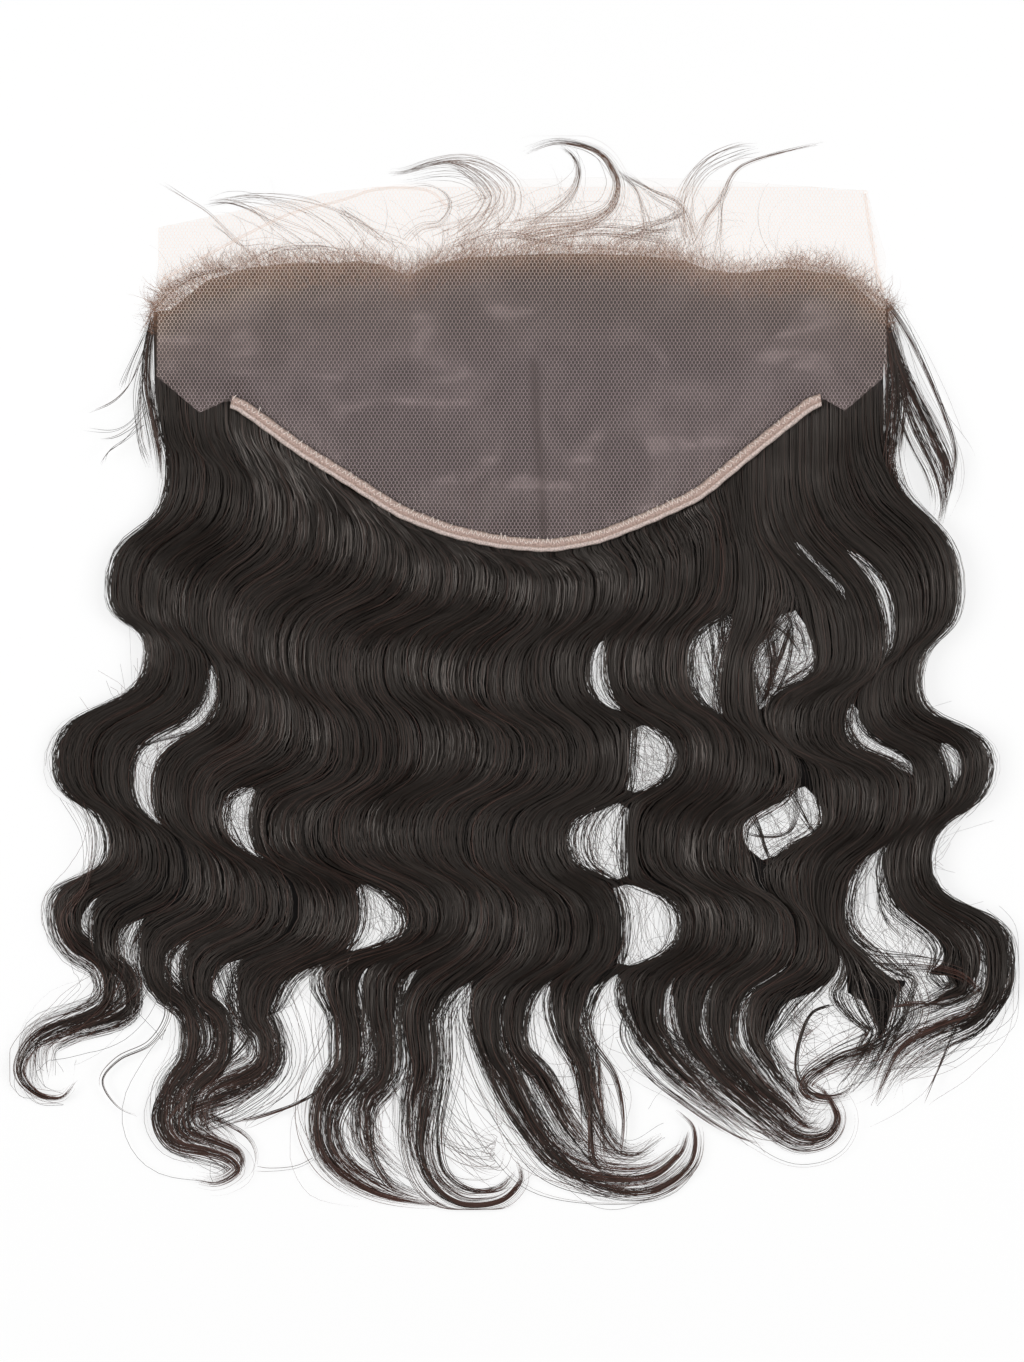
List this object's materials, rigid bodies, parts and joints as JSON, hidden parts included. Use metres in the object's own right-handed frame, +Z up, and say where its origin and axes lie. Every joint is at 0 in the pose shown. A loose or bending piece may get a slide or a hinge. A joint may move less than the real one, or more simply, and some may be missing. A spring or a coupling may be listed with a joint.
{
  "type": "lace frontal hairpiece",
  "caption": "Body wave hair frontal laid flat face down: ear-to-ear net with a bare front margin, binding tape along its curved back hem and wavy locks fanning out below",
  "frame": {"origin": "on the floor under the middle of the net, on the flat underside of the hair", "axes": "+Y towards the bare front margin, +X towards the right ear tab, +Z up from the floor"},
  "size_m": [0.4492, 0.4636, 0.0132],
  "materials": {
    "hair": "satin strands",
    "lace": "fine open net",
    "binding_tape": "woven tape"
  },
  "bodies": {
    "root": {"hair": "hair", "lace": "lace", "binding_tape": "binding_tape"}
  },
  "joints": []
}
